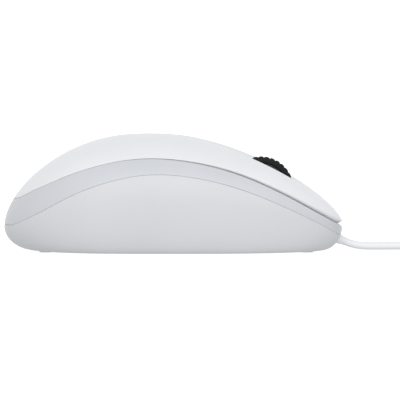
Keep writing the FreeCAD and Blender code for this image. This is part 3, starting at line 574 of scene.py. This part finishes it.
def spine_stations():
    """Places along the centre line, closer together round the ends of the wheel's slot."""
    stations = [FAN_REAR + (SLIT_START - FAN_REAR) * i / 36 for i in range(37)]
    stations += [SLIT_START + 0.1, SLIT_START + 0.2]
    slot_rear = SLOT_X - SLOT_HALF
    stations += [SLIT_START + 0.2 + (slot_rear - SLIT_START - 0.2) * i / 16 for i in range(1, 17)]
    curl = [SLOT_RADIUS * (1 - math.cos(math.pi / 2 * i / 12)) for i in range(1, 13)]
    stations += [slot_rear + step for step in curl]
    straight = 2 * (SLOT_HALF - SLOT_RADIUS)
    stations += [slot_rear + SLOT_RADIUS + straight * i / 12 for i in range(1, 13)]
    slot_front = SLOT_X + SLOT_HALF
    stations += [slot_front - step for step in reversed([0.0] + curl[:-1])]
    stations += [slot_front + (FAN_FRONT - slot_front) * i / 4 for i in range(1, 5)]
    return stations


def edge_point(turn):
    """The cover's lower edge in the plan, at an angle round it."""
    level = level_where(turn, lambda x: cover_edge_z(x) + lip_radius(x))
    point = form_point(turn, level)
    return point.x, point.y


def lip_radius(x):
    """The rounding of the cover's lower edge, fuller under the keys."""
    under_key = min(1.0, max(0.0, (x - HINGE_X) / LIP_RUN))
    return LIP + LIP_FORWARD * forward_share(x) + LIP_UNDER_KEY * under_key - LIP_NOTCH * nose_share(x)


def turn_at(x):
    """The angle round the plan at which the cover's lower edge reaches x."""
    low, high = 0.0, math.pi
    for _ in range(40):
        middle = (low + high) / 2
        if edge_point(middle)[0] > x:
            low = middle
        else:
            high = middle
    return (low + high) / 2


def half_cover(name, side):
    """One half of the top: a grid from the centre line out to the lower edge, with a fan at each end."""
    pairs = []
    rear_turn = turn_at(FAN_REAR_REACH)
    front_turn = turn_at(FAN_FRONT_REACH)
    for i in range(FAN_LINES):
        turn = math.pi + (rear_turn - math.pi) * i / FAN_LINES
        pairs.append(((FAN_REAR, 0.0), edge_point(turn)))
    reach_length = FAN_FRONT_REACH - FAN_REAR_REACH
    for x in spine_stations():
        reach = FAN_REAR_REACH + (x - FAN_REAR) * reach_length / (FAN_FRONT - FAN_REAR)
        pairs.append(((x, inner_y(x)), edge_point(turn_at(reach))))
    for i in range(1, FAN_LINES + 1):
        turn = front_turn * (1 - i / FAN_LINES)
        x, y = edge_point(turn)
        pairs.append(((FAN_FRONT, HALF_SLIT), (x, max(y, HALF_SLIT))))
    pairs = [pair for index, pair in enumerate(pairs) if index == 0 or pair != pairs[index - 1]]

    points, normals, grid = [], [], []
    known = {}
    for (x0, y0), (x1, y1) in pairs:
        line = []
        for j in range(ACROSS + 1):
            # The points lie closer together towards the lower edge, where the form bends more.
            share = j / ACROSS
            share = 0.45 * share + 0.55 * math.sin(share * math.pi / 2)
            x = x0 + (x1 - x0) * share
            y = y0 + (y1 - y0) * share
            key = (round(x, 5), round(y, 5))
            if key not in known:
                known[key] = len(points)
                points.append(cover_point(x, y))
                normal = cover_normal(x, y)
                if y == 0.0:
                    normal = Vector((normal.x, 0, normal.z)).normalized()
                normals.append(normal)
            line.append(known[key])
        grid.append(line)
    faces = []
    for near, far in zip(grid, grid[1:]):
        for j in range(ACROSS):
            corner = [near[j], far[j], far[j + 1], near[j + 1]]
            face = [v for index, v in enumerate(corner) if v != corner[index - 1]]
            if len(face) > 2:
                faces.append(face)

    # The outline, in order: out along the first line, round the lower edge, and back along the centre.
    loop = grid[0][:-1] + [line[-1] for line in grid] + list(reversed(grid[-1][:-1]))
    loop += [line[0] for line in reversed(grid[:-1])]
    loop = [v for index, v in enumerate(loop) if v != loop[index - 1]]
    lower_edge = {line[-1] for line in grid}
    skin_count = len(points)
    rings = [loop]
    strips = []
    for index, vertex in enumerate(loop):
        point = points[vertex]
        normal = normals[vertex]
        before = points[loop[index - 1]]
        after = points[loop[(index + 1) % len(loop)]]
        first = (point - before).cross(normal).normalized()
        second = (after - point).cross(normal).normalized()
        outwards = -(first + second).normalized()
        outwards *= min(LONGEST_MITRE, 1 / max(0.5, outwards.dot(-second)))
        radius = SLIT_LIP
        if vertex in lower_edge:
            radius = lip_radius(point.x)
            if point.y <= HALF_SLIT:
                ahead = Vector((math.copysign(1, point.x), 0, 0))
                outwards = (ahead - normal * ahead.dot(normal)).normalized()
        elif point.y == 0.0:
            radius = HALVES_LIP
            outwards = Vector((0, -1, 0))
        strips.append(rolled_edge(point, normal, outwards, radius, WALL))
    for depth in range(len(strips[0])):
        ring = []
        for strip in strips:
            ring.append(len(points))
            points.append(strip[depth][0])
            normals.append(strip[depth][1].normalized())
        rings.append(ring)
    for near, far in zip(rings, rings[1:]):
        for i in range(len(loop)):
            j = (i + 1) % len(loop)
            faces.append((near[i], near[j], far[j], far[i]))
    # The underside is the skin again, a wall's thickness down.
    inner_of = {vertex: rings[-1][index] for index, vertex in enumerate(loop)}
    for vertex in range(skin_count):
        if vertex not in inner_of:
            inner_of[vertex] = len(points)
            points.append(points[vertex] - normals[vertex] * WALL)
            normals.append(-normals[vertex])
    faces += [[inner_of[v] for v in reversed(face)] for face in faces if max(face) < skin_count]

    if side < 0:
        points = [Vector((p.x, -p.y, p.z)) for p in points]
        normals = [Vector((n.x, -n.y, n.z)) for n in normals]
        faces = [list(reversed(face)) for face in faces]
    return link_mesh(name, points, faces, COVER, normals)


HALVES = ((1, "left_key", ("top_cover", "left_button")),
          (-1, "right_key", ("right_button",)))
for side, key_body, nodes in HALVES:
    half = half_cover("cover_left" if side > 0 else "cover_right", side)
    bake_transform(half)
    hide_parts(*nodes)

# ---------------------------------------------------------------------------------------------------------
# Wheel tyre
# ---------------------------------------------------------------------------------------------------------
WHEEL = Vector((29.3, 0, 20.35))
WHEEL_RADIUS = 10.9
TYRE_INNER = 8.7
TYRE_HALF = 3.5
TYRE_SHOULDER = 1.3
TYRE_CLEARANCE = 0.02
RIBS = 34
RIB_DEPTH = 0.40
RIB_STEPS = 12


def tyre():
    """A rubber ring whose outside is worked into round ribs that fade out at its shoulders."""
    section = [(-TYRE_HALF, TYRE_INNER + TYRE_CLEARANCE)]
    for step in range(8):
        angle = math.pi / 2 * step / 7
        section.append((-TYRE_HALF + TYRE_SHOULDER * (1 - math.cos(angle)),
                        WHEEL_RADIUS - TYRE_SHOULDER * (1 - math.sin(angle))))
    section += [(-1.1, WHEEL_RADIUS), (0, WHEEL_RADIUS)]
    section += [(-y, r) for y, r in reversed(section[:-1])]
    count = RIBS * RIB_STEPS
    points, faces = [], []
    for index in range(count):
        angle = 2 * math.pi * index / count
        wave = abs(math.sin(math.pi * index / RIB_STEPS))
        groove = (1 - wave) ** 1.6
        for y, radius in section:
            full = max(0.0, (radius - (WHEEL_RADIUS - TYRE_SHOULDER)) / TYRE_SHOULDER)
            depth = RIB_DEPTH * groove * full ** 0.5
            reach = radius - depth
            points.append(WHEEL + Vector((reach * math.cos(angle), y, reach * math.sin(angle))))
    size = len(section)
    for index in range(count):
        other = (index + 1) % count
        for k in range(size):
            m = (k + 1) % size
            faces.append((index * size + k, other * size + k, other * size + m, index * size + m))
    return link_mesh("tyre_ribbed", points, faces, RUBBER)


wheel = tyre()
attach(wheel, "wheel")
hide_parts("wheel_tyre")

# ---------------------------------------------------------------------------------------------------------
# Strain relief, plug and strap
# ---------------------------------------------------------------------------------------------------------


def turned(name, profile, origin, way, finish, around=40):
    """A body of revolution: profile is (distance along way, radius) from end to end."""
    side = way.orthogonal().normalized()
    up = way.cross(side)
    points, faces = [], []
    for along, radius in profile:
        for i in range(around):
            angle = 2 * math.pi * i / around
            points.append(origin + way * along + (side * math.cos(angle) + up * math.sin(angle)) * radius)
    for row in range(len(profile) - 1):
        for i in range(around):
            j = (i + 1) % around
            k = (row + 1) * around
            faces.append((row * around + i, row * around + j, k + j, k + i))
    faces.append(list(reversed(range(around))))
    faces.append([(len(profile) - 1) * around + i for i in range(around)])
    return link_mesh(name, points, faces, finish)


relief_profile = [(-4.0, 2.4), (-3.9, 2.58), (-2.9, 2.58), (-2.8, 1.7), (-0.6, 1.7), (0.0, 1.44), (0.7, 1.38),
                  (1.3, 1.33), (1.5, 1.31)]
relief = turned("relief_sleeve", relief_profile, EXIT, EXIT_WAY, CORD)
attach(relief, "mouse")
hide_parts("strain_relief")


def plug_grip():
    """The moulded plug body: a rounded block that narrows into a ribbed neck round the cord.

    Each station is a distance along the plug, two half sizes and a corner radius.
    """
    stations = [(0.0, 1.75, 1.75, 1.7)]
    for rib in range(3):
        start = 0.5 + 2.0 * rib
        stations += [(start, 2.15, 2.15, 2.1), (start + 1.2, 2.2, 2.2, 2.1), (start + 1.35, 1.7, 1.7, 1.6),
                     (start + 1.85, 1.7, 1.7, 1.6)]
    stations += [(6.6, 2.3, 2.2, 2.1), (7.0, 4.4, 2.9, 2.0), (7.5, 6.2, 3.35, 2.0), (8.6, 7.3, 3.65, 1.8),
                 (10.5, 7.68, 3.74, 1.6), (24.5, 7.72, 3.75, 1.5), (26.2, 7.6, 3.66, 1.5),
                 (26.9, 7.2, 3.3, 1.3), (27.0, 6.7, 2.9, 1.2)]
    points, faces = [], []
    for along, half_x, half_z, corner in stations:
        outline = rounded_rectangle(0, 0, half_x, half_z, min(corner, half_x, half_z) * 0.999, 5)
        around = len(outline)
        points += [PLUG + Vector((along, -y, z)) for y, z in outline]
    for row in range(len(stations) - 1):
        for i in range(around):
            j = (i + 1) % around
            faces.append((row * around + i, (row + 1) * around + i, (row + 1) * around + j, row * around + j))
    faces.append(list(range(around)))
    faces.append([(len(stations) - 1) * around + i for i in reversed(range(around))])
    return link_mesh("plug_grip", points, faces, CORD)


grip = plug_grip()
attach(grip, "mouse")
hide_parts("usb_plug_body")


STRAP_THICKNESS = 0.4
STRAP_SPAN = math.radians(24)


def strap():
    """A soft strap round the coil's bundle, following its turn."""
    low = 0.05
    high = COIL_LOW + 3 * LAYER_PITCH + CORD_DIAMETER / 2 + 0.35
    half_x = 2 * TURN_PITCH + CORD_DIAMETER / 2 + 0.45
    centre_z = (low + high) / 2
    outline = rounded_rectangle(COIL_RADIUS, centre_z, half_x, (high - low) / 2, 1.8, 5)
    inner = rounded_rectangle(COIL_RADIUS, centre_z, half_x - STRAP_THICKNESS,
                              (high - low) / 2 - STRAP_THICKNESS, 1.5, 5)
    section = outline + list(reversed(inner))
    count = len(outline)
    points, faces = [], []
    steps = 12
    for step in range(steps + 1):
        angle = math.pi + STRAP_SPAN * (step / steps - 0.5)
        for radius, z in section:
            points.append(COIL_CENTRE + Vector((radius * math.cos(angle), radius * math.sin(angle), z)))
    size = len(section)
    for step in range(steps):
        for part in (range(count), range(count, size)):
            part = list(part)
            for i, k in enumerate(part):
                m = part[(i + 1) % len(part)]
                near = step * size
                far = near + size
                faces.append((near + k, near + m, far + m, far + k))
    for end, flip in ((0, False), (steps, True)):
        for i in range(count):
            j = (i + 1) % count
            face = [end * size + i, end * size + size - 1 - i, end * size + size - 1 - j, end * size + j]
            faces.append(face if not flip else list(reversed(face)))
    return link_mesh("strap_band", points, faces, STRAP)


tie = strap()
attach(tie, "mouse")
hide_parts("coil_tie")

# ---------------------------------------------------------------------------------------------------------
# Floor, light and world
# ---------------------------------------------------------------------------------------------------------
FLOOR_HALF = 3000
FLOOR_GLOW = 0.92
paper = material("floor_paper", (0.30, 0.30, 0.30), 0.9, mottle=0.005)
# The sheet glows by itself, so that it shows clean white and the object's shadow on it is washed out.
paper_inputs = paper.node_tree.nodes["Principled BSDF"].inputs
paper_inputs["Emission Color"].default_value = (1, 1, 1, 1)
paper_inputs["Emission Strength"].default_value = FLOOR_GLOW
floor = link_mesh("floor", [(-FLOOR_HALF, -FLOOR_HALF, 0), (FLOOR_HALF, -FLOOR_HALF, 0),
                            (FLOOR_HALF, FLOOR_HALF, 0), (-FLOOR_HALF, FLOOR_HALF, 0)],
                  [(0, 1, 2, 3)], paper)
# It is left out of the object's light: it neither lights the object nor shades it from the world below, and
# it isn't reflected in it.
floor.visible_diffuse = False
floor.visible_glossy = False
floor.visible_shadow = False


def soft_light(name, place, target, size, power):
    """A rectangular area light at a place, turned towards a target. Sizes and places are in metres."""
    data = bpy.data.lights.new(name, "AREA")
    data.shape = "RECTANGLE"
    data.size, data.size_y = size
    data.energy = power
    lamp = bpy.data.objects.new(name, data)
    lamp.location = place
    lamp.rotation_euler = (Vector(target) - Vector(place)).to_track_quat("-Z", "Y").to_euler()
    bpy.context.scene.collection.objects.link(lamp)


soft_light("front_fill", (0.05, -0.95, 0.65), (0, 0, 0.02), (0.9, 0.6), 4.0)

world = bpy.data.worlds.new("studio")
bpy.context.scene.world = world
world.use_nodes = True
world_nodes = world.node_tree.nodes
world_links = world.node_tree.links
# A white cyclorama: dim below, full brightness at eye level and a little above, falling off to the ceiling.
# Each pair is a place from straight down (0) to straight up (1), and the brightness there.
SKY = ((0.0, 0.50), (0.30, 0.70), (0.46, 0.95), (0.62, 0.96), (0.98, 0.60))
SIDE_STRENGTH = 1.24
END_STRENGTH = 0.90
background = world_nodes["Background"]
sky_place = world_nodes.new("ShaderNodeTexCoord")
sky_split = world_nodes.new("ShaderNodeSeparateXYZ")
sky_level = world_nodes.new("ShaderNodeMapRange")
sky_level.inputs["From Min"].default_value = -1.0
sky_ramp = world_nodes.new("ShaderNodeValToRGB")
sky_ramp.color_ramp.interpolation = "EASE"
stops = sky_ramp.color_ramp.elements
stops[0].position, stops[0].color = SKY[0][0], (SKY[0][1],) * 3 + (1,)
stops[1].position, stops[1].color = SKY[-1][0], (SKY[-1][1],) * 3 + (1,)
for position, level in SKY[1:-1]:
    stops.new(position).color = (level, level, level, 1)
world_links.new(sky_place.outputs["Generated"], sky_split.inputs["Vector"])
world_links.new(sky_split.outputs["Z"], sky_level.inputs["Value"])
world_links.new(sky_level.outputs["Result"], sky_ramp.inputs["Fac"])
world_links.new(sky_ramp.outputs["Color"], background.inputs["Color"])
# The ends of the room, beyond the nose and the rear, are dimmer than its front and back.
sky_ends = world_nodes.new("ShaderNodeMath")
sky_ends.operation = "MULTIPLY"
world_links.new(sky_split.outputs["X"], sky_ends.inputs[0])
world_links.new(sky_split.outputs["X"], sky_ends.inputs[1])
end_level = world_nodes.new("ShaderNodeMapRange")
end_level.inputs["To Min"].default_value = SIDE_STRENGTH
end_level.inputs["To Max"].default_value = END_STRENGTH
world_links.new(sky_ends.outputs["Value"], end_level.inputs["Value"])
world_links.new(end_level.outputs["Result"], background.inputs["Strength"])
bpy.context.scene.view_settings.view_transform = "Standard"
